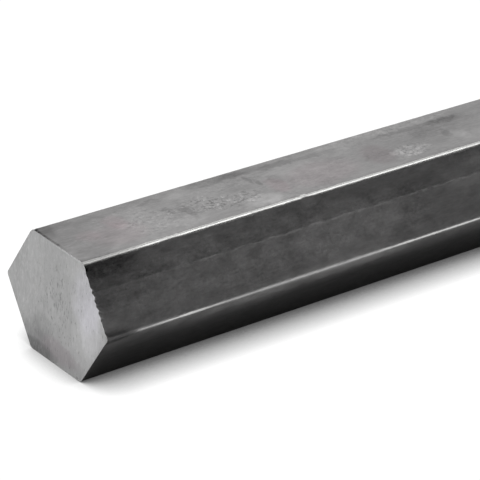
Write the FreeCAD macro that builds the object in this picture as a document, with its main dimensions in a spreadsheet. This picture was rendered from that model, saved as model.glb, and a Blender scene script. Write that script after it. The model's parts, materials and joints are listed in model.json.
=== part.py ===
import FreeCAD, Part
import math
import os

import Sketcher

# Hexagonal steel bar stock, lying on one of its six flats.
# The bar is hot rolled to a regular hexagon whose long corners come out slightly rounded, and
# is then sawn to length. The saw went through the -X end a few degrees out of square, so that
# this end's top rear corner is the long point of the bar. The cut at the +X end is square.
# +X runs along the bar and +Z is up. The origin is on the bottom flat, under the bar's middle.


# Driving sizes, in millimetres and degrees

SIZES = {
    "across_flats": 50,
    "corner_radius": 2,
    "bar_length": 1000,
    "saw_lean": 3.1,
    "saw_skew": 2.5,
}
MEANINGS = {
    "across_flats": "distance between opposite flats, a standard size of hexagonal bar",
    "corner_radius": "radius that rolling leaves on each long corner",
    "bar_length": "length from the square end to the long point of the sawn end",
    "saw_lean": "angle by which the sawn end leans out at the top",
    "saw_skew": "angle by which the sawn end is turned out at the back",
}

doc = FreeCAD.newDocument("hex_bar_stock")
sheet = doc.addObject("Spreadsheet::Sheet", "Sizes")
for row, (alias, value) in enumerate(SIZES.items(), start=1):
    sheet.set(f"A{row}", str(value))
    sheet.setAlias(f"A{row}", alias)
    sheet.set(f"B{row}", MEANINGS[alias])
doc.recompute()


# Sketches across the bar. A sketch numbers each curve's points upwards from 1, and its own two
# axes downwards from -1.

SIDES = 6
START, END, CENTRE = range(1, 4)
HORIZONTAL_AXIS, VERTICAL_AXIS = range(-1, -3, -1)
FACING = FreeCAD.Vector(0, 0, 1)


def sketch_across(body, name):
    """A sketch across the bar: its x is +Y, its y is +Z and it faces +X."""
    plane = next(p for p in body.Origin.OriginFeatures if p.Role == "YZ_Plane")
    sketch = body.newObject("Sketcher::SketchObject", name)
    sketch.AttachmentSupport = [(plane, "")]
    sketch.MapMode = "FlatFace"
    return sketch


def add_size(sketch, name, formula, constraint):
    """Adds a dimension to a sketch and ties it to the sheet."""
    index = sketch.addConstraint(constraint)
    sketch.renameConstraint(index, name)
    sketch.setExpression(f"Constraints.{name}", formula)


def draw_section(body):
    """The rolled section at the square end: a regular hexagon that stands on one flat."""
    sketch = sketch_across(body, "RolledSection")
    sketch.setExpression("AttachmentOffset.Base.z", "Sizes.bar_length / 2")

    across_flats = float(sheet.across_flats)
    middle = FreeCAD.Vector(0, across_flats / 2, 0)
    corner_reach = across_flats / math.sqrt(3)
    turns = [math.tau * corner / SIDES for corner in range(SIDES + 1)]
    corners = [
        middle + FreeCAD.Vector(math.cos(turn), math.sin(turn), 0) * corner_reach
        for turn in turns
    ]
    sides = [
        sketch.addGeometry(Part.LineSegment(corner, next_corner), False)
        for corner, next_corner in zip(corners, corners[1:])
    ]
    corner_circle = sketch.addGeometry(Part.Circle(middle, FACING, corner_reach), True)

    right_side, top_flat, _, _, bottom_flat, _ = sides
    for side, next_side in zip(sides, sides[1:] + sides[:1]):
        sketch.addConstraint(Sketcher.Constraint("Coincident", side, END, next_side, START))
        sketch.addConstraint(Sketcher.Constraint("PointOnObject", side, START, corner_circle))
    for side in sides[1:]:
        sketch.addConstraint(Sketcher.Constraint("Equal", right_side, side))
    sketch.addConstraint(Sketcher.Constraint("Horizontal", bottom_flat))
    sketch.addConstraint(Sketcher.Constraint("PointOnObject", bottom_flat, START, HORIZONTAL_AXIS))
    sketch.addConstraint(Sketcher.Constraint("PointOnObject", corner_circle, CENTRE, VERTICAL_AXIS))
    gap = Sketcher.Constraint("DistanceY", bottom_flat, START, top_flat, END, across_flats)
    add_size(sketch, "across_flats", "Sizes.across_flats", gap)
    return sketch


def draw_saw_cut(body):
    """The plane of the sawn end, as a disc round the long point that covers the section."""
    sketch = sketch_across(body, "SawnEnd")
    long_point = (
        "create(<<vector>>; Sizes.across_flats / 2 * tan(30 deg); "
        "Sizes.across_flats; -Sizes.bar_length / 2)"
    )
    out_of_square = "create(<<rotation>>; 0; Sizes.saw_skew; -Sizes.saw_lean)"
    sketch.setExpression(
        "AttachmentOffset", f"create(<<placement>>; {long_point}; {out_of_square})"
    )

    reach = 2 * float(sheet.across_flats)
    disc = sketch.addGeometry(Part.Circle(FreeCAD.Vector(), FACING, reach), False)
    sketch.addConstraint(Sketcher.Constraint("Coincident", disc, CENTRE, HORIZONTAL_AXIS, START))
    radius = Sketcher.Constraint("Radius", disc, reach)
    add_size(sketch, "reach", "2 * Sizes.across_flats", radius)
    return sketch


# The bar, in the order in which it is made

bar = doc.addObject("PartDesign::Body", "HexBar")
bar.Label = "hex_bar"
bar.Placement = FreeCAD.Placement()

# Rolled towards -X from the square end, with half a section to spare for the saw
rolled = bar.newObject("PartDesign::Pad", "RolledBar")
rolled.Profile = draw_section(bar)
rolled.Reversed = True
rolled.setExpression("Length", "Sizes.bar_length + Sizes.across_flats / 2")
doc.recompute()

long_edges = [
    f"Edge{number}"
    for number, edge in enumerate(rolled.Shape.Edges, start=1)
    if edge.BoundBox.XLength > edge.BoundBox.DiagonalLength / 2
]
rounded = bar.newObject("PartDesign::Fillet", "RoundedCorners")
rounded.Base = (rolled, long_edges)
rounded.setExpression("Radius", "Sizes.corner_radius")
doc.recompute()

# A pocket goes against its sketch's facing, which here takes off everything beyond the cut
sawn = bar.newObject("PartDesign::Pocket", "SawCut")
sawn.Profile = draw_saw_cut(bar)
sawn.Type = "ThroughAll"
bar.Tip = sawn
doc.recompute()


# Checks, then one file for the one piece

for item in doc.Objects:
    if {"Invalid", "Error"} & set(item.State):
        raise SystemExit(f"{item.Label} did not build: {item.State}")
if len(long_edges) != SIDES:
    raise SystemExit(f"the rolled bar has {len(long_edges)} long corners and not {SIDES}")
if sawn.Shape.Volume >= rounded.Shape.Volume:
    raise SystemExit("the saw cut takes nothing off")
if bar.Shape.isNull() or not bar.Shape.isValid():
    raise SystemExit(f"{bar.Label} has no valid shape")

os.makedirs("parts", exist_ok=True)
bar.Shape.exportStep(f"parts/{bar.Label}.step")
box = bar.Shape.BoundBox
print(f"{bar.Label}: {box.XLength:.2f} x {box.YLength:.2f} x {box.ZLength:.2f} mm")
print(f"X {box.XMin:.3f} to {box.XMax:.3f}, Z {box.ZMin:.3f} to {box.ZMax:.3f}")
print(f"volume {bar.Shape.Volume:.1f} cubic mm, solids {len(bar.Shape.Solids)}")
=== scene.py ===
import json
import math

import bmesh
import bpy
from mathutils import Matrix, Vector, noise


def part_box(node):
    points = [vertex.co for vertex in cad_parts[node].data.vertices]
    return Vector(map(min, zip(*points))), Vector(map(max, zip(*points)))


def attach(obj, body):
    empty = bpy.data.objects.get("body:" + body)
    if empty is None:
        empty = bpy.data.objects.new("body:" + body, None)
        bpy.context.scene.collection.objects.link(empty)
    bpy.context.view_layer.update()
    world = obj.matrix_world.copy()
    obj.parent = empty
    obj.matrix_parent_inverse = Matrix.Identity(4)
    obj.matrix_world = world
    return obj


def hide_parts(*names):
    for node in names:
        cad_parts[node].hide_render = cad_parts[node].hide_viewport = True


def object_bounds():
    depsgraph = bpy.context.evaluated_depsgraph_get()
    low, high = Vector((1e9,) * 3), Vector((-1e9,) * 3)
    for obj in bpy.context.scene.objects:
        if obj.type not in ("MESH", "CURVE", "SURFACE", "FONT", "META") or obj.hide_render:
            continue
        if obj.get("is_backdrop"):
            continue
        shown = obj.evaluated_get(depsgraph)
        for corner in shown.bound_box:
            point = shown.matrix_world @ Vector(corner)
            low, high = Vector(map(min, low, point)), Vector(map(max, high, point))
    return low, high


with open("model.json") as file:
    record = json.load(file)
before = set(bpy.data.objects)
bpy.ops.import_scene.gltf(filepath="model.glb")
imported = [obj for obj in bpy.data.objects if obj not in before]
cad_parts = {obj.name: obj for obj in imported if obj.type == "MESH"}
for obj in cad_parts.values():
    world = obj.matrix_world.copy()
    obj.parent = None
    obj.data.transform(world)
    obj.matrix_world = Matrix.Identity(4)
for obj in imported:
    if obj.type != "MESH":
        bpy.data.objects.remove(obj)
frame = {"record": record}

cad_low, cad_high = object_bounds()


# The bar
# One length of solid steel bar, hot rolled to a regular hexagon, whose long corners come out
# slightly rounded. It lies on one flat. A band saw cut the -X end a few degrees out of square
# and left a ragged lip on it. The +X end was cut square.

MM = 0.001
SIDES = 6
flat_turn = math.tau / SIDES
half_flat_turn = flat_turn / 2
bar_low, bar_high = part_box("hex_bar")
across_flats = bar_high.z - bar_low.z
half_flats = across_flats / 2
bar_middle = Vector((0, 0, half_flats))
sharp_reach = half_flats / math.cos(half_flat_turn)
corner_radius = (sharp_reach - bar_high.y) / (1 / math.cos(half_flat_turn) - 1)
flat_width = across_flats * math.tan(half_flat_turn)
sawn_mount = next(m for m in frame["record"]["mounts"] if m["name"] == "sawn_end")
saw_point = Vector(sawn_mount["pos_m"])
saw_facing = Vector(sawn_mount["axis"]).normalized()
square_point = Vector((bar_high.x, 0, half_flats))
square_facing = Vector((1, 0, 0))

# The rolled hexagon, with a corner towards +Y, and its six long corners rounded
SPARE_LENGTH = 30 * MM
CORNER_SEGMENTS = 6
STRIPS_ON_A_FLAT = 18
rolled_length = bar_high.x - bar_low.x + SPARE_LENGTH
rolled_middle = bar_middle + Vector((bar_high.x - rolled_length / 2, 0, 0))
mesh = bmesh.new()
bmesh.ops.create_cone(
    mesh,
    cap_ends=True,
    segments=SIDES,
    radius1=sharp_reach,
    radius2=sharp_reach,
    depth=rolled_length,
    matrix=Matrix.Translation(rolled_middle) @ Matrix.Rotation(math.pi / 2, 4, "Y"),
)
bmesh.ops.bevel(
    mesh,
    geom=[e for e in mesh.edges if e.calc_length() > sharp_reach * 2],
    offset=corner_radius * math.tan(half_flat_turn),
    offset_type="OFFSET",
    affect="EDGES",
    segments=CORNER_SEGMENTS,
    profile=0.5,
    material=-1,
)
bmesh.ops.subdivide_edges(
    mesh,
    edges=[e for e in mesh.edges if flat_width / 2 < e.calc_length() < flat_width],
    cuts=STRIPS_ON_A_FLAT - 1,
    use_grid_fill=True,
)

CUT_TOLERANCE = 0.0001 * MM


def cut_across(faces, plane_point, facing, keep_outside=True):
    """Cuts faces along a plane and gives the faces that come of it, with those beyond or not."""
    edges = [e for f in faces for e in f.edges]
    points = [v for f in faces for v in f.verts]
    cut = bmesh.ops.bisect_plane(
        mesh,
        geom=list(dict.fromkeys([*faces, *edges, *points])),
        dist=CUT_TOLERANCE,
        plane_co=plane_point,
        plane_no=facing,
        clear_outer=not keep_outside,
    )
    return [part for part in cut["geom"] if part.is_valid and isinstance(part, bmesh.types.BMFace)]


# The saw cut, and the planes that part the bar's length into zones: how far each lies along the
# bar from the middle of the cut, and the way it faces. The ends' grids run on into the narrow
# zones beside them.
ZONE_ENDS = [
    (0.9 * MM, saw_facing),
    (1.7 * MM, saw_facing),
    (15 * MM, saw_facing),
    (215 * MM, square_facing),
    (997 * MM, square_facing),
]
RINGS_IN_ZONE = [1, 1, 24, 130, 190, 1]
cut_across(mesh.faces[:], saw_point, saw_facing, keep_outside=False)
bmesh.ops.holes_fill(mesh, edges=[e for e in mesh.edges if e.is_boundary], sides=0)
for distance, facing in ZONE_ENDS:
    cut_across(mesh.faces[:], saw_point + Vector((distance, 0, 0)), facing)

# Each end is a single face with many corners. It gets a narrow rim, then a grid whose fine
# columns run down the face as the saw's lines do.
RIM_WIDTH = 0.5 * MM
COLUMN_WIDTH = 0.38 * MM
ROW_HEIGHT = 0.55 * MM
SKIN, SAWN = range(2)
for end_middle in (saw_point, square_point):
    end_face = next(
        f
        for f in mesh.faces
        if len(f.verts) > SIDES and (f.calc_center_median() - end_middle).length < sharp_reach
    )
    end_face.material_index = SAWN
    rim = bmesh.ops.inset_individual(mesh, faces=[end_face], thickness=RIM_WIDTH)["faces"]
    for face in rim:
        face.material_index = SAWN
    beside = [f for rim_face in rim for e in rim_face.edges for f in e.link_faces]
    pieces = list(dict.fromkeys([end_face, *rim, *beside]))
    for axis, reach, step in (
        (Vector((0, 1, 0)), sharp_reach, COLUMN_WIDTH),
        (Vector((0, 0, 1)), half_flats, ROW_HEIGHT),
    ):
        for count in range(1, round(2 * reach / step)):
            pieces = cut_across(pieces, bar_middle + axis * (count * step - reach), axis)

# Rings along the length, closer together towards the sawn end. They divide the edges that run
# along the bar and not across it.
LENGTHWISE = 2
zone_edges = [[] for _ in RINGS_IN_ZONE]
for edge in mesh.edges:
    start, end = (v.co for v in edge.verts)
    if abs(end.x - start.x) > LENGTHWISE * (end - start).yz.length:
        from_cut = (start + end) / 2 - saw_point
        zone = sum(from_cut.dot(facing) / facing.x > distance for distance, facing in ZONE_ENDS)
        zone_edges[zone].append(edge)
for edges, rings in zip(zone_edges, RINGS_IN_ZONE):
    bmesh.ops.subdivide_edges(mesh, edges=edges, cuts=rings - 1, use_grid_fill=True)

# Slivers, left where the cuts of a grid meet its rim, are closed up
SLIVER_WIDTH = 0.03 * MM
bmesh.ops.dissolve_degenerate(mesh, dist=SLIVER_WIDTH, edges=mesh.edges)

# What rolling and handling left: long shallow waves on the flats, nicks near the long corners,
# and chips, each with its middle, reach and depth. They all go into the true shape.
WAVE_DEPTH = 0.03 * MM
WAVE_SIZE = Vector((60, 13, 13)) * MM
NICK_DEPTH = 0.1 * MM
NICK_SIZE = Vector((3, 6, 6)) * MM
NICK_SHARE = 0.3
NICK_INSET = 1 * MM
nicks_from = (bar_high.y + half_flats) / 2 + NICK_INSET
CHIPS = [
    (Vector((-498.7, -15.4, 48.6)) * MM, 2 * MM, 0.25 * MM),
    (Vector((-500, 14.4, 49.8)) * MM, 1.8 * MM, 0.5 * MM),
    (Vector((-497, -28.6, 25)) * MM, 3 * MM, 0.35 * MM),
]

# What the saw left: its lines and torn pits in the ends, and a ragged lip that stands out from
# the front upper flat, inside the bar's box, and dies away at that flat's two corners
FACE_DEPTH = 0.05 * MM
LINES = [(0.05 * MM, Vector((9, 2.3, 30)) * MM), (0.05 * MM, Vector((9, 0.9, 5)) * MM)]
PIT_DEPTH = 0.5 * MM
PIT_SIZE = Vector((9, 1, 2.4)) * MM
PIT_SHARE = 0.3
LIP_HEIGHT = 1.1 * MM
LIP_TEETH = [(1.3, Vector((9, 1.3, 1.3)) * MM), (0.7, Vector((9, 4, 4)) * MM)]
LIP_SHARE = 0.2
LIP_FADE = 8
LIP_CUTOFF = 6.9
front_upper = Vector((0, -math.sin(flat_turn), math.cos(flat_turn)))


def rough(place, size):
    """Smooth noise from -1 to 1 whose lumps are as far apart as the given size."""
    return noise.noise(Vector(p / s for p, s in zip(place, size)))


def limited(value, low=0, high=1):
    """The value, kept from going past two limits."""
    return min(max(value, low), high)


mesh.normal_update()
moves = {}
for point in mesh.verts:
    place = point.co.copy()
    from_middle = Vector((0, place.y, place.z - half_flats))
    materials = {f.material_index for f in point.link_faces}
    chipped = sum(
        depth * max(0, 1 - ((place - chip).length / reach) ** 2) ** 2
        for chip, reach, depth in CHIPS
    )
    if SAWN in materials:
        inwards = -math.copysign(1, place.x)
        if SKIN in materials:
            depth = chipped
        else:
            depth = FACE_DEPTH + PIT_DEPTH * max(0, rough(place, PIT_SIZE) - PIT_SHARE)
            for line_depth, line_size in LINES:
                depth += line_depth * (1 + rough(place, line_size)) / 2
        moves[point] = Vector((inwards * depth, 0, 0))
        if SKIN in materials:
            lip_side = limited(LIP_FADE * from_middle.normalized().dot(front_upper) - LIP_CUTOFF)
            tooth = LIP_SHARE + sum(w * rough(place, size) for w, size in LIP_TEETH)
            moves[point] += front_upper * LIP_HEIGHT * lip_side * limited(tooth)
    else:
        depth = WAVE_DEPTH * (1 + rough(place, WAVE_SIZE)) / 2 + chipped
        if from_middle.length > nicks_from:
            depth += NICK_DEPTH * max(0, rough(place, NICK_SIZE) - NICK_SHARE) / (1 - NICK_SHARE)
        moves[point] = -point.normal * depth
for point, move in moves.items():
    point.co = [limited(*part) for part in zip(point.co + move, bar_low, bar_high)]

for face in mesh.faces:
    face.smooth = True
for edge in mesh.edges:
    if len({f.material_index for f in edge.link_faces}) > 1:
        edge.smooth = False

bar_mesh = bpy.data.meshes.new("rolled_bar")
mesh.to_mesh(bar_mesh)
mesh.free()
rolled_bar = bpy.data.objects.new("rolled_bar", bar_mesh)
bpy.context.scene.collection.objects.link(rolled_bar)

# Both finishes are mixed from smooth patterns, which lie round a middle value, and from marks,
# which fade in from 1.25 to 0.6 of their half size
PATTERN_MIDDLE = 0.5
PATTERN_ROUGHNESS = 0.6
MARK_EDGE = (1.25, 0.6)


def linear(hex_colour):
    """An sRGB hex colour as linear red, green, blue and alpha."""
    parts = [int(hex_colour[i : i + 2], 16) / 255 for i in (1, 3, 5)]
    return [c / 12.92 if c <= 0.04045 else ((c + 0.055) / 1.055) ** 2.4 for c in parts] + [1]


def add_node(tree, kind, *values, named=(), out=None, **settings):
    """Adds a node with its settings, sets or links its inputs, and gives an output."""
    node = tree.nodes.new("ShaderNode" + kind)
    for name, setting in settings.items():
        setattr(node, name, setting)
    sockets = [s for s in node.inputs if s.enabled]
    by_name = [(next(s for s in sockets if s.name == n), v) for n, v in dict(named).items()]
    for socket, value in [*zip(sockets, values), *by_name]:
        if isinstance(value, bpy.types.NodeSocket):
            tree.links.new(value, socket)
        elif value is not None:
            socket.default_value = value
    return node.outputs[out] if out else next((s for s in node.outputs if s.enabled), None)


def start_finish(name, pattern_sizes, warp_reach):
    """Starts a finish, and gives its material, place, patterns and place for the marks."""
    finish = bpy.data.materials.new(name)
    finish.use_nodes = True
    tree = finish.node_tree
    tree.nodes.clear()
    place = add_node(tree, "TexCoord", out="Object")
    patterns = {}
    for pattern, (size, detail) in pattern_sizes.items():
        scale = [1 / (s * MM) for s in size]
        scaled = add_node(tree, "Mapping", place, named={"Scale": scale})
        patterns[pattern] = add_node(
            tree,
            "TexNoise",
            scaled,
            named={"Scale": 1, "Detail": detail, "Roughness": PATTERN_ROUGHNESS},
            out="Color" if pattern == "warp" else None,
        )
    middle = [PATTERN_MIDDLE] * len(warp_reach)
    warped = add_node(tree, "VectorMath", patterns["warp"], middle, operation="SUBTRACT")
    warped = add_node(tree, "VectorMath", warped, warp_reach, place, operation="MULTIPLY_ADD")
    return finish, place, patterns, warped


def add_marks(tree, warped, marks, changed):
    """Adds marks, each with its middle and half size in mm, to the values that they change."""
    for middle, half_size, changes in marks:
        inside = add_node(
            tree,
            "Mapping",
            warped,
            [m * MM for m in middle],
            None,
            [h * MM for h in half_size],
            vector_type="TEXTURE",
        )
        inside = add_node(tree, "VectorMath", inside, operation="LENGTH", out="Value")
        inside = add_node(tree, "MapRange", inside, *MARK_EDGE, interpolation_type="SMOOTHSTEP")
        for name, amount in changes.items():
            changed[name] = add_node(
                tree, "Math", inside, amount, changed[name], operation="MULTIPLY_ADD"
            )


# Hot-rolled steel with a thin mill scale: dark grey with a dull sheen, clouded and flecked, with
# brighter steel and a painted highlight where the corners rub. Each pattern has the size of its
# lumps along X, Y and Z in mm, and its detail. Scale is grained finer than shows at this distance,
# so the grain, dashes and speckle are drawn as coarse as they need to be.
SCALED_STEEL = "#959494"
WARMED_STEEL = "#9E8E92"
# Near-white for rubbed steel and the painted highlight on the corners
RUBBED_STEEL_AND_HIGHLIGHT = "#EFEFED"
SKIN_PATTERNS = {
    "clouds": ((38, 9, 9), 2),
    "mottle": ((7, 4, 4), 4),
    "grain": ((30, 0.9, 0.9), 2),
    "dashes": ((3.4, 0.9, 0.9), 1),
    "speckle": ((1.7, 1.3, 1.3), 1),
    "flakes": ((3.4, 2.6, 2.6), 1),
    "zones": ((22, 9, 9), 1),
    "warp": ((5, 4, 4), 2),
}
SKIN_WARP = [4 * MM, 4 * MM, 0]
SKIN_MARKS = [
    # The flaky part of the top flat, with dark strokes in it
    ((-449, 0.8, 50), (1.6, 3, 3), {"tone": -0.16}),
    ((-444.6, -0.6, 50), (1.4, 2.6, 3), {"tone": -0.14}),
    ((-443.2, -4.2, 50), (1.5, 4.6, 3), {"tone": -0.24}),
    ((-447, 0, 50), (5, 4, 3), {"speckle": 0.5}),
    ((-435, -1.4, 50), (8, 6, 3), {"speckle": 0.9, "tone": 0.05}),
    ((-427, -4.6, 50), (8, 5, 3), {"speckle": 0.9}),
    ((-460, -2, 50), (12, 8.5, 3), {"speckle": 0.55, "tone": 0.14}),
    # Lighter patches round it
    ((-446, -9, 50), (10, 4, 3), {"tone": 0.14}),
    ((-429, -2, 50), (12, 6, 3), {"tone": 0.1}),
    ((-415.8, -4.5, 50), (6, 4.5, 3), {"speckle": 0.9, "tone": 0.06}),
    ((-413, -9.6, 50), (9, 3.8, 3), {"tone": 0.32}),
    ((-408, -11.8, 50), (7, 2.2, 3), {"tone": 0.16}),
    ((-431, 7, 50), (14, 5, 3), {"tone": 0.1}),
    # Lighter long strips in front, at the rear and between them
    ((-400, -12, 50), (120, 8, 3), {"tone": 0.05}),
    ((-400, 13, 50), (120, 7, 3), {"tone": 0.05}),
    ((-394, -1, 50), (20, 9, 3), {"tone": 0.07}),
    # Dark streaks along the rear, and lighter steel in front of them
    ((-422, 11.3, 50), (14, 2.8, 3), {"tone": -0.24}),
    ((-406, 11.6, 50), (12, 2.2, 3), {"tone": -0.2}),
    ((-391.7, 9.8, 50), (9, 1.8, 3), {"tone": -0.22}),
    ((-373, 8.8, 50), (14, 1.6, 3), {"tone": -0.13}),
    ((-386, 3.6, 50), (15, 6, 3), {"tone": 0.14}),
    ((-364, 8, 50), (8, 5, 3), {"tone": 0.12}),
    ((-451.3, 9.6, 50), (6, 1.8, 3), {"tone": -0.18}),
    ((-470.3, 10.6, 50), (5, 2.6, 3), {"tone": -0.04}),
    ((-479, 8.5, 50), (8, 4, 3), {"tone": -0.1}),
    # Short dark strokes across the middle
    ((-408.6, 5.6, 50), (1.3, 3, 3), {"tone": -0.22}),
    ((-406.4, 2, 50), (1.2, 2.8, 3), {"tone": -0.26, "speckle": 0.3}),
    ((-399, 0.6, 50), (3, 4, 3), {"tone": -0.12}),
    # Streaks and patches farther along
    ((-322, 7.9, 50), (26, 1.5, 3), {"tone": -0.2}),
    ((-309, 7, 50), (9, 2.4, 3), {"tone": -0.2}),
    ((-322, 2.4, 50), (8, 4, 3), {"tone": -0.16}),
    ((-330, 13, 50), (40, 4, 3), {"tone": 0.08, "speckle": 0.4}),
    ((-305, -10, 50), (20, 4.5, 3), {"tone": 0.08}),
    ((-304, 4.6, 50), (12, 3, 3), {"tone": -0.12}),
    # Bright scuffs, and blotches beside them
    ((-337, -6.6, 50), (10, 5, 3), {"speckle": 1.2, "tone": 0.15}),
    ((-343, -5, 50), (4, 2, 3), {"tone": 0.24}),
    ((-331, -6.4, 50), (5, 1.2, 3), {"tone": 0.26}),
    ((-336, -9.6, 50), (4, 1.2, 3), {"tone": 0.2}),
    ((-311.6, -5, 50), (5.4, 2.4, 3), {"tone": 0.18}),
    ((-308.6, -7.4, 50), (3, 3, 3), {"tone": 0.14}),
    ((-314.5, -2.6, 50), (2, 3.4, 3), {"tone": -0.22}),
    ((-301, -7, 50), (4, 2, 3), {"tone": 0.06}),
    ((-311, 1.6, 50), (5, 2.4, 3), {"tone": -0.1}),
    # Reddish scale in the middle
    ((-351, -3, 50), (7, 8, 3), {"tone": -0.12, "warmth": 0.2}),
    ((-401, -3.4, 50), (4.5, 6, 3), {"warmth": 0.3}),
    ((-380, -4, 50), (18, 9, 3), {"warmth": 0.2, "speckle": 0.2}),
    ((-372, -2.6, 50), (10, 4, 3), {"tone": 0.12}),
    # Darker and reddish scale behind the cut
    ((-495, 6, 50), (14, 9, 3), {"tone": -0.16}),
    ((-498, 10, 50), (5, 5, 3), {"tone": -0.2}),
    ((-474, 12.6, 50), (34, 4, 3), {"tone": -0.14}),
    ((-490, -8.6, 50), (9, 4, 3), {"tone": -0.16}),
    ((-471.2, 3.7, 50), (5, 5, 3), {"warmth": 0.25}),
    ((-485.7, 0.2, 50), (5, 4, 3), {"warmth": 0.2, "tone": 0.06}),
    ((-475, -4, 50), (12, 8, 3), {"warmth": 0.2}),
    # The front flats: dark behind the cut, lighter farther along
    ((-493, -16, 47), (16, 4, 4.5), {"tone": -0.3, "speckle": 0.3}),
    ((-490, -19, 42), (26, 9, 12), {"tone": -0.23}),
    ((-440, -21.7, 37.5), (90, 9, 14), {"speckle": 0.35, "tone": 0.13}),
    ((-494, -21.5, 39), (6, 6, 8), {"tone": -0.1}),
    ((-490, -27, 20), (18, 4, 6), {"tone": -0.25}),
    ((-380, -23.6, 34), (26, 8, 15), {"tone": 0.26}),
    ((-316, -20, 40), (14, 5, 8), {"tone": 0.3}),
    ((-317, -23, 35), (4, 2, 3), {"tone": -0.24}),
    # The chips, with painted shade in them, and corners with less rubbed steel and painted
    # highlight
    ((-498.4, -15.8, 48), (1.6, 1, 1.2), {"tone": -0.3, "rub_and_highlight": -1}),
    ((-488, -14.9, 49.3), (16, 3, 3), {"rub_and_highlight": -0.4}),
    ((-500, 13.7, 50), (2.4, 1.6, 1), {"tone": -0.5, "rub_and_highlight": -1}),
    ((-497, -28.6, 25), (14, 3, 3), {"tone": -0.55, "rub_and_highlight": -1}),
    ((-482, -28.6, 25), (14, 3, 3), {"rub_and_highlight": -0.5}),
    ((-408, -28.6, 25), (46, 3, 3), {"rub_and_highlight": -0.7}),
    # Painted reflection on the lower front flat just below the widest front corner
    ((-400, -27.5, 22), (50, 3, 5), {"tone": 0.5}),
    ((-438, -24.5, 17.5), (26, 5, 7), {"tone": 0.25}),
]

# The tone that the scale's colour is multiplied by, and each pattern's weight in it. A pair of
# values, here and below, says where something starts and where it is full.
SKIN_TONE = 0.755
SKIN_WEIGHTS = {"clouds": 0.28, "grain": 0.04, "mottle": 0.17}
FLAKY_ZONES = (0.5, 0.66)
FLAKY_SPECKLE = (0.05, 0.32)
skin, place, patterns, warped = start_finish("hot_rolled_steel", SKIN_PATTERNS, SKIN_WARP)
tree = skin.node_tree
tone = SKIN_TONE
for name, weight in SKIN_WEIGHTS.items():
    tone = add_node(tree, "Math", patterns[name], weight, tone, operation="MULTIPLY_ADD")
flaky = add_node(tree, "MapRange", patterns["zones"], *FLAKY_ZONES, *FLAKY_SPECKLE)
changed = {"tone": tone, "warmth": 0, "speckle": flaky, "rub_and_highlight": 1}
add_marks(tree, warped, SKIN_MARKS, changed)
tone = changed["tone"]

# Flaked scale: light and dark flecks where the skin is rough, short dashes all over, and dark
# cracks that run where the flakes' pattern passes its middle
LIGHT_FLECKS = (0.56, 0.66)
DARK_FLECKS = (0.44, 0.34)
SPECKLE_CONTRAST = 0.26
DASH_CONTRAST = 0.07
CRACK_EDGE = (0.07, 0.01)
CRACK_TONE = -0.13
flecks = 0
for name, share, contrast in (
    ("speckle", changed["speckle"], SPECKLE_CONTRAST),
    ("dashes", 1, DASH_CONTRAST),
):
    light = add_node(tree, "MapRange", patterns[name], *LIGHT_FLECKS)
    dark = add_node(tree, "MapRange", patterns[name], *DARK_FLECKS)
    fleck = add_node(tree, "Math", light, dark, operation="SUBTRACT")
    fleck = add_node(tree, "Math", fleck, share, operation="MULTIPLY")
    flecks = add_node(tree, "Math", fleck, contrast, flecks, operation="MULTIPLY_ADD")
tone = add_node(tree, "Math", tone, flecks, operation="ADD")
cracks = add_node(tree, "Math", patterns["flakes"], PATTERN_MIDDLE, operation="SUBTRACT")
cracks = add_node(tree, "Math", cracks, operation="ABSOLUTE")
cracks = add_node(tree, "MapRange", cracks, *CRACK_EDGE)
cracks = add_node(tree, "Math", cracks, changed["speckle"], operation="MULTIPLY")
tone = add_node(tree, "Math", cracks, CRACK_TONE, tone, operation="MULTIPLY_ADD")

# A darker band along the upper part of the front upper flat. Two dashed lines, a light and a dark
# one, run along its ragged lower edge.
BAND_RAGGED = 2.4 * MM
BAND_EDGE = (12.7 * MM, 12.3 * MM)
BAND_TONE = -0.16
ON_FLAT = (-0.5 * MM, -0.2 * MM)
LINE_DASHES = (0.44, 0.56)
LINES_START = (-478 * MM, -445 * MM)
BAND_LINES = [(12.75 * MM, 0.5 * MM, 0.3), (11.9 * MM, 0.7 * MM, -0.14)]
down_flat = Vector((0, -math.cos(flat_turn), -math.sin(flat_turn)))
top_front_corner = Vector((0, -flat_width / 2, across_flats))
from_front = add_node(tree, "VectorMath", place, top_front_corner, operation="SUBTRACT")
down = add_node(tree, "VectorMath", from_front, down_flat, operation="DOT_PRODUCT", out="Value")
down = add_node(tree, "Math", patterns["mottle"], BAND_RAGGED, down, operation="MULTIPLY_ADD")
out = add_node(tree, "VectorMath", from_front, front_upper, operation="DOT_PRODUCT", out="Value")
on_flat = add_node(tree, "MapRange", out, *ON_FLAT)
band = add_node(tree, "MapRange", down, *BAND_EDGE)
band = add_node(tree, "Math", band, on_flat, operation="MULTIPLY")
tone = add_node(tree, "Math", band, BAND_TONE, tone, operation="MULTIPLY_ADD")
dashed = add_node(tree, "MapRange", patterns["dashes"], *LINE_DASHES)
farther = add_node(tree, "SeparateXYZ", place, out="X")
farther = add_node(tree, "MapRange", farther, *LINES_START)
for line_down, line_width, line_tone in BAND_LINES:
    line = add_node(tree, "Math", down, -line_down, operation="ADD")
    line = add_node(tree, "Math", line, operation="ABSOLUTE")
    line = add_node(tree, "MapRange", line, line_width, line_width / 2)
    for share in (on_flat, dashed, farther):
        line = add_node(tree, "Math", line, share, operation="MULTIPLY")
    tone = add_node(tree, "Math", line, line_tone, tone, operation="MULTIPLY_ADD")
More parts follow.
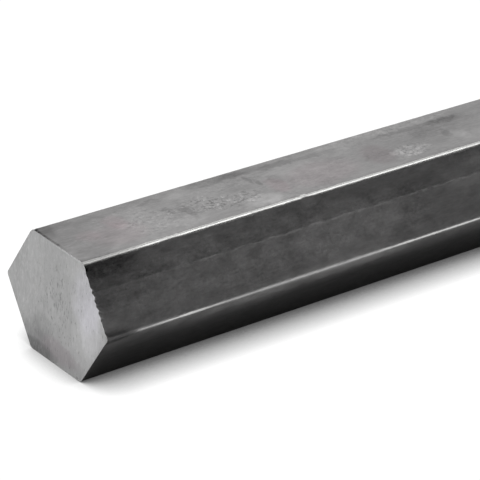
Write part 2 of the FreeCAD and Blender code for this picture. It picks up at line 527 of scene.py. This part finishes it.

# Painted shade on the lower flats, below the widest corners, deepening towards the ground
UNDER_RAGGED = 5 * MM
UNDER_HEIGHTS = (26 * MM, 17.5 * MM)
UNDER_SHADES = (0.95, 0.33)
WIDEST_HEIGHTS = (24.4 * MM, 24.6 * MM)
height_up = add_node(tree, "SeparateXYZ", place, out="Z")
ragged = add_node(
    tree, "Math", patterns["mottle"], UNDER_RAGGED, height_up, operation="MULTIPLY_ADD"
)
under_shade = add_node(tree, "MapRange", ragged, *UNDER_HEIGHTS, *UNDER_SHADES)
upper = add_node(tree, "MapRange", height_up, *WIDEST_HEIGHTS)
under_shade = add_node(tree, "Mix", upper, under_shade, 1, data_type="FLOAT")
tone = add_node(tree, "Math", tone, under_shade, operation="MULTIPLY")

# Painted shade along the cut's edge at the rear of the top flat, where no lip stands, with breaks
EDGE_SHADE_REACH = (-1.3 * MM, -0.9 * MM)
EDGE_SHADE_REAR = (-6 * MM, 1 * MM)
EDGE_SHADE_BREAKS = (0.4, 0.55)
EDGE_SHADE_SHARES = (0.4, 1)
EDGE_SHADE_TONE = -0.4
from_saw = add_node(tree, "VectorMath", place, saw_point, operation="SUBTRACT")
from_saw = add_node(tree, "VectorMath", from_saw, saw_facing, operation="DOT_PRODUCT", out="Value")
edge_shade = add_node(tree, "MapRange", from_saw, *EDGE_SHADE_REACH)
backward = add_node(tree, "SeparateXYZ", warped, out="Y")
backward = add_node(tree, "MapRange", backward, *EDGE_SHADE_REAR)
edge_shade = add_node(tree, "Math", edge_shade, backward, operation="MULTIPLY")
broken = add_node(tree, "MapRange", patterns["speckle"], *EDGE_SHADE_BREAKS, *EDGE_SHADE_SHARES)
edge_shade = add_node(tree, "Math", edge_shade, broken, operation="MULTIPLY")
tone = add_node(tree, "Math", edge_shade, EDGE_SHADE_TONE, tone, operation="MULTIPLY_ADD")

# Bright rubbed steel with a painted highlight: a thin ragged line on each long corner, a wider one
# on the front upper flat just below the top front corner, and less of both towards the ground
CORNER_RAGGED = 0.9 * MM
CORNER_LINE = (0.95 * MM, 0.7 * MM)
FRONT_LINE_START = (1.3 * MM, 1.6 * MM)
FRONT_LINE_END = (2.6 * MM, 2.2 * MM)
FRONT_LINE_OUT = (-1 * MM, -0.6 * MM)
RUB_AND_HIGHLIGHT_HEIGHTS = (6 * MM, 16 * MM)
across = add_node(tree, "SeparateXYZ", place, out="Y")
over_axis = add_node(tree, "Math", height_up, half_flats, operation="SUBTRACT")
turn = add_node(tree, "Math", over_axis, across, operation="ARCTAN2")
corner_arc = add_node(tree, "Math", turn, half_flat_turn, operation="PINGPONG")
corner_arc = add_node(tree, "Math", corner_arc, bar_high.y, operation="MULTIPLY")
corner_arc = add_node(
    tree, "Math", patterns["mottle"], CORNER_RAGGED, corner_arc, operation="MULTIPLY_ADD"
)
rubbed_and_highlight = add_node(tree, "MapRange", corner_arc, *CORNER_LINE)
front_highlight = add_node(tree, "MapRange", down, *FRONT_LINE_START)
for share in (
    add_node(tree, "MapRange", down, *FRONT_LINE_END),
    add_node(tree, "MapRange", out, *FRONT_LINE_OUT),
):
    front_highlight = add_node(tree, "Math", front_highlight, share, operation="MULTIPLY")
rubbed_and_highlight = add_node(tree, "Math", rubbed_and_highlight, front_highlight, operation="MAXIMUM")
above = add_node(tree, "MapRange", height_up, *RUB_AND_HIGHLIGHT_HEIGHTS)
rubbed_and_highlight = add_node(tree, "Math", rubbed_and_highlight, above, operation="MULTIPLY")
rubbed_and_highlight = add_node(tree, "Math", rubbed_and_highlight, changed["rub_and_highlight"], operation="MULTIPLY", use_clamp=True)

# The skin's colour, gloss and relief
SKIN_MOTTLE = (0.3, 0.7)
SKIN_ROUGHNESS = (0.36, 0.48)
RUBBED_GLOSS = -0.12
GRAIN_HEIGHT = 0.15
CRACK_HEIGHT = -0.6
BAND_HEIGHT = 0.5
RELIEF_DEPTH = 0.06 * MM
scaled_steel = linear(SCALED_STEEL)
warmed_steel = linear(WARMED_STEEL)
rubbed_steel_and_highlight = linear(RUBBED_STEEL_AND_HIGHLIGHT)
colour = add_node(tree, "Mix", changed["warmth"], scaled_steel, warmed_steel, data_type="RGBA")
colour = add_node(tree, "VectorMath", colour, named={"Scale": tone}, operation="SCALE")
# Rubbed steel and painted highlight on the corners, in near-white
colour = add_node(tree, "Mix", rubbed_and_highlight, colour, rubbed_steel_and_highlight, data_type="RGBA")
roughness = add_node(tree, "MapRange", patterns["mottle"], *SKIN_MOTTLE, *SKIN_ROUGHNESS)
roughness = add_node(tree, "Math", rubbed_and_highlight, RUBBED_GLOSS, roughness, operation="MULTIPLY_ADD")
height = flecks
for relief, depth in (
    (patterns["grain"], GRAIN_HEIGHT),
    (cracks, CRACK_HEIGHT),
    (band, BAND_HEIGHT),
):
    height = add_node(tree, "Math", relief, depth, height, operation="MULTIPLY_ADD")
bump = add_node(tree, "Bump", named={"Height": height, "Strength": 1, "Distance": RELIEF_DEPTH})
steel = add_node(
    tree,
    "BsdfPrincipled",
    named={"Base Color": colour, "Metallic": 1, "Roughness": roughness, "Normal": bump},
)
add_node(tree, "OutputMaterial", steel)
bar_mesh.materials.append(skin)

# Band-sawn steel: bright and bare, with faint lines down the face and small torn nicks. The lines
# of the saw's single teeth are too fine to show, so the finest are drawn 0.8 mm apart.
SAWN_STEEL = "#BABABA"
BLUED_STEEL = "#B9B6C4"
BROWNED_STEEL = "#A79CA1"
SAWN_PATTERNS = {
    "broad lines": ((20, 2.3, 30), 2),
    "fine lines": ((20, 0.8, 4), 2),
    "nicks": ((9, 0.7, 2.2), 2),
    "teeth": ((9, 0.8, 0.8), 1),
    "clouds": ((9, 7, 10), 3),
    "warp": ((9, 5, 5), 3),
}
SAWN_WARP = [0, 6 * MM, 6 * MM]
SAWN_MARKS = [
    # Painted reflection, brighter towards the front, with a bluish tint in part
    ((-499, -17, 34), (9, 8, 13), {"tone": 0.2, "blued": 0.22}),
    ((-499, -20, 24), (9, 6, 14), {"tone": 0.22, "blued": 0.08}),
    ((-499, -10, 44), (9, 8, 6), {"tone": 0.08}),
    # Painted shade, darker low at the rear
    ((-499, 8, 12.4), (9, 6, 5.5), {"tone": -0.15}),
    ((-499, 15, 8), (9, 7, 7), {"tone": -0.07}),
    # Painted reflection, brighter in the middle and low in front
    ((-499, -15, 15), (9, 8, 12), {"tone": 0.14}),
    ((-499, -4, 24), (9, 4, 12), {"tone": 0.06}),
    # Painted shade along the bottom, with a brownish tint
    ((-499, 14, 1), (9, 15, 10), {"tone": -0.2}),
    ((-499, 12, 1), (9, 12, 5), {"tone": -0.26}),
    ((-499, -2, 6), (9, 12, 4.5), {"tone": -0.02, "browned": 0.4}),
    # More torn in the middle, and less at the rear
    ((-499, -1, 27), (9, 3, 4), {"torn": 0.06, "tone": -0.06}),
    ((-499, -1, 27), (9, 11, 19), {"torn": 0.05}),
    ((-499, 19, 30), (9, 9, 16), {"torn": -0.06}),
]
SAWN_TONE = 0.59
SAWN_WEIGHTS = {"clouds": 0.36, "broad lines": 0.14, "fine lines": 0.26}
TORN_NICKS = (0.64, 0.7)
TORN_TONE = -0.28
RAISED_NICKS = (0.42, 0.34)
RAISED_TONE = 0.12
sawn, place, patterns, warped = start_finish("band_sawn_steel", SAWN_PATTERNS, SAWN_WARP)
tree = sawn.node_tree
tone = SAWN_TONE
for name, weight in SAWN_WEIGHTS.items():
    tone = add_node(tree, "Math", patterns[name], weight, tone, operation="MULTIPLY_ADD")
changed = {"tone": tone, "blued": 0, "browned": 0, "torn": patterns["nicks"]}
add_marks(tree, warped, SAWN_MARKS, changed)
torn = add_node(tree, "MapRange", changed["torn"], *TORN_NICKS)
tone = add_node(tree, "Math", torn, TORN_TONE, changed["tone"], operation="MULTIPLY_ADD")
raised = add_node(tree, "MapRange", changed["torn"], *RAISED_NICKS)
tone = add_node(tree, "Math", raised, RAISED_TONE, tone, operation="MULTIPLY_ADD")

# Painted highlights, tooth by tooth, on the lip at the front upper side and nibs along the top
# edge
TEETH = (0.4, 0.55)
LIP_OUT = (-0.5 * MM, -0.1 * MM)
LIP_HIGHLIGHT_TONE = 0.3
NIB_DEPTHS = (0.9 * MM, 0.5 * MM)
NIB_SIDE = (3 * MM, -3 * MM)
NIB_HIGHLIGHT_TONE = 0.35
teeth = add_node(tree, "MapRange", patterns["teeth"], *TEETH)
from_front = add_node(tree, "VectorMath", place, top_front_corner, operation="SUBTRACT")
out = add_node(tree, "VectorMath", from_front, front_upper, operation="DOT_PRODUCT", out="Value")
lip_highlight = add_node(tree, "MapRange", out, *LIP_OUT)
lip_highlight = add_node(tree, "Math", lip_highlight, teeth, operation="MULTIPLY")
tone = add_node(tree, "Math", lip_highlight, LIP_HIGHLIGHT_TONE, tone, operation="MULTIPLY_ADD")
height_up = add_node(tree, "SeparateXYZ", place, out="Z")
nib_highlights = add_node(tree, "MapRange", height_up, *[across_flats - depth for depth in NIB_DEPTHS])
forward = add_node(tree, "SeparateXYZ", place, out="Y")
forward = add_node(tree, "MapRange", forward, *NIB_SIDE)
for share in (forward, teeth):
    nib_highlights = add_node(tree, "Math", nib_highlights, share, operation="MULTIPLY")
tone = add_node(tree, "Math", nib_highlights, NIB_HIGHLIGHT_TONE, tone, operation="MULTIPLY_ADD")

# The sawn face's colour, gloss and relief
SAWN_ROUGHNESS = 0.45
FINE_HEIGHT = 0.7
TORN_HEIGHT = -0.8
colour = linear(SAWN_STEEL)
for name, shade in {"blued": BLUED_STEEL, "browned": BROWNED_STEEL}.items():
    colour = add_node(tree, "Mix", changed[name], colour, linear(shade), data_type="RGBA")
colour = add_node(tree, "VectorMath", colour, named={"Scale": tone}, operation="SCALE")
height = patterns["broad lines"]
for relief, depth in ((patterns["fine lines"], FINE_HEIGHT), (torn, TORN_HEIGHT)):
    height = add_node(tree, "Math", relief, depth, height, operation="MULTIPLY_ADD")
bump = add_node(tree, "Bump", named={"Height": height, "Strength": 1, "Distance": RELIEF_DEPTH})
steel = add_node(
    tree,
    "BsdfPrincipled",
    named={"Base Color": colour, "Metallic": 1, "Roughness": SAWN_ROUGHNESS, "Normal": bump},
)
add_node(tree, "OutputMaterial", steel)
bar_mesh.materials.append(sawn)

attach(rolled_bar, "root")
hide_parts("hex_bar")


# The floor
# A wide sheet of matt white paper that the bar lies on. The camera sees it bleached out, with a
# soft shadow close to the bar, and it throws its white light back at the bar's lower flats.

FLOOR_REACH = 45
FLOOR_SEGMENTS = 64
FLOOR_DROP = 0.02 * MM
floor_mesh = bpy.data.meshes.new("floor")
sheet = bmesh.new()
bmesh.ops.create_circle(
    sheet,
    cap_ends=True,
    segments=FLOOR_SEGMENTS,
    radius=FLOOR_REACH,
    matrix=Matrix.Translation((0, 0, -FLOOR_DROP)),
)
sheet.to_mesh(floor_mesh)
sheet.free()
floor = bpy.data.objects.new("floor", floor_mesh)
bpy.context.scene.collection.objects.link(floor)

# Its shade follows how open it lies to the light, dark under the bar and white 20 mm away. Each
# of two ranges of openness adds its range of shade.
PAPER = "#DCDCDC"
SHADE_REACH = 20 * MM
SHADE_SAMPLES = 16
DEEP_OPENNESS = (0.27, 0.45)
DEEP_SHADE = (0.09, 0.51)
SOFT_OPENNESS = (0.45, 0.75)
SOFT_SHADE = (0, 0.54)
paper = bpy.data.materials.new("matt_white_paper")
paper.use_nodes = True
tree = paper.node_tree
tree.nodes.clear()
openness = add_node(tree, "AmbientOcclusion", None, SHADE_REACH, out="AO", samples=SHADE_SAMPLES)
deep = add_node(tree, "MapRange", openness, *DEEP_OPENNESS, *DEEP_SHADE)
soft = add_node(tree, "MapRange", openness, *SOFT_OPENNESS, *SOFT_SHADE)
level = add_node(tree, "Math", deep, soft, operation="ADD")
shown = add_node(tree, "Emission", None, level)
matt = add_node(tree, "BsdfDiffuse", linear(PAPER))
seen = add_node(tree, "LightPath", out="Is Camera Ray")
shader = add_node(tree, "MixShader", seen, matt, shown)
add_node(tree, "OutputMaterial", shader)
floor_mesh.materials.append(paper)
floor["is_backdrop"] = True


# The light
# A plain white studio, dim all round, with three soft glows: behind the bar, over it to the left,
# and high to its right. Each glow has its direction, the cosines of the angles off it at which
# the glow starts and is full, and its strength.

GLOWS = [
    ((0.47, 0.72, 0.51), 0.55, 0.85, 0.8),
    ((-0.3, 0.4, 0.87), 0.7, 0.9, 3.2),
    ((0.58, -0.36, 0.73), 0.965, 0.985, 2.2),
]
DIM_LEVEL = 0.1
BACKDROP_LEVEL = 1.2
world = bpy.data.worlds.new("studio")
world.use_nodes = True
tree = world.node_tree
tree.nodes.clear()
direction = add_node(tree, "TexCoord", out="Generated")
glow = DIM_LEVEL
for facing, low, high, level in GLOWS:
    aimed = add_node(tree, "VectorMath", direction, facing, operation="DOT_PRODUCT", out="Value")
    lit = add_node(tree, "MapRange", aimed, low, high, 0, level, interpolation_type="SMOOTHSTEP")
    glow = add_node(tree, "Math", lit, glow, operation="ADD")
seen = add_node(tree, "LightPath", out="Is Camera Ray")
glow = add_node(tree, "Mix", seen, glow, BACKDROP_LEVEL, data_type="FLOAT")
light = add_node(tree, "Background", named={"Strength": glow})
add_node(tree, "OutputWorld", light)
bpy.context.scene.world = world
bpy.context.scene.view_settings.view_transform = "Standard"


# The camera
# A long lens that looks down on the bar from beyond its sawn end and from the front. Its place,
# and its turns in degrees, were worked out from where the bar's corners lie in the photograph.

LENS_LENGTH = 199.12
SENSOR_WIDTH = 36
CLIP_RANGE = (0.05, 50)
CAMERA_PLACE = (-0.99185, -0.65079, 0.50326)
CAMERA_TURNS = (61.271, -4.994, -38.863)
camera_data = bpy.data.cameras.new("camera")
camera_data.lens = LENS_LENGTH
camera_data.sensor_width = SENSOR_WIDTH
camera_data.clip_start, camera_data.clip_end = CLIP_RANGE
camera = bpy.data.objects.new("camera", camera_data)
camera.location = CAMERA_PLACE
camera.rotation_euler = [math.radians(turn) for turn in CAMERA_TURNS]
bpy.context.scene.collection.objects.link(camera)
bpy.context.scene.camera = camera

[[list(c) for c in box] for box in ((cad_low, cad_high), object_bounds())]
